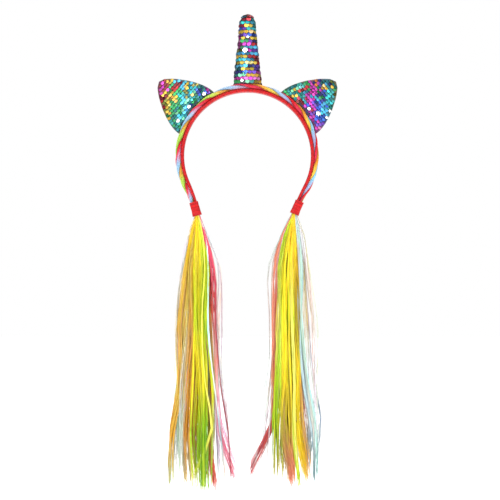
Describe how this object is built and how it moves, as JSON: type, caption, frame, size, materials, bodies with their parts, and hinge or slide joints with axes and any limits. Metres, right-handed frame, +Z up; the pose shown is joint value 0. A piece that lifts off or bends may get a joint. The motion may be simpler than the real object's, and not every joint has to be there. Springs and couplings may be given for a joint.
{
  "type": "unicorn horn headband",
  "caption": "Costume headband: a satin hoop with a twist of coloured hair, a sequinned horn, two sequinned ears, and a long hair tail tied on at each end.",
  "frame": {"origin": "middle of the hoop's inner face at its top, where it sits on the head", "axes": "+Z up along the horn, away from the head; +X to the wearer's left, the viewer's right; +Y towards the back of the head, so the front faces -Y"},
  "size_m": [0.1808, 0.0238, 0.4737],
  "materials": {
    "red_satin": "satin",
    "red_ribbon": "satin",
    "red_hair": "silky",
    "yellow_hair": "silky",
    "blue_hair": "silky",
    "mixed_hair": "silky",
    "sequins": "sequinned, shiny"
  },
  "bodies": {
    "root": {"band": "red_satin", "twist_red": "red_hair", "twist_yellow": "yellow_hair", "twist_blue": "blue_hair", "horn": "sequins", "ear_left": "sequins", "ear_right": "sequins", "tie_left": "red_ribbon", "tie_right": "red_ribbon", "tail_left": "mixed_hair", "tail_right": "mixed_hair"}
  },
  "joints": []
}
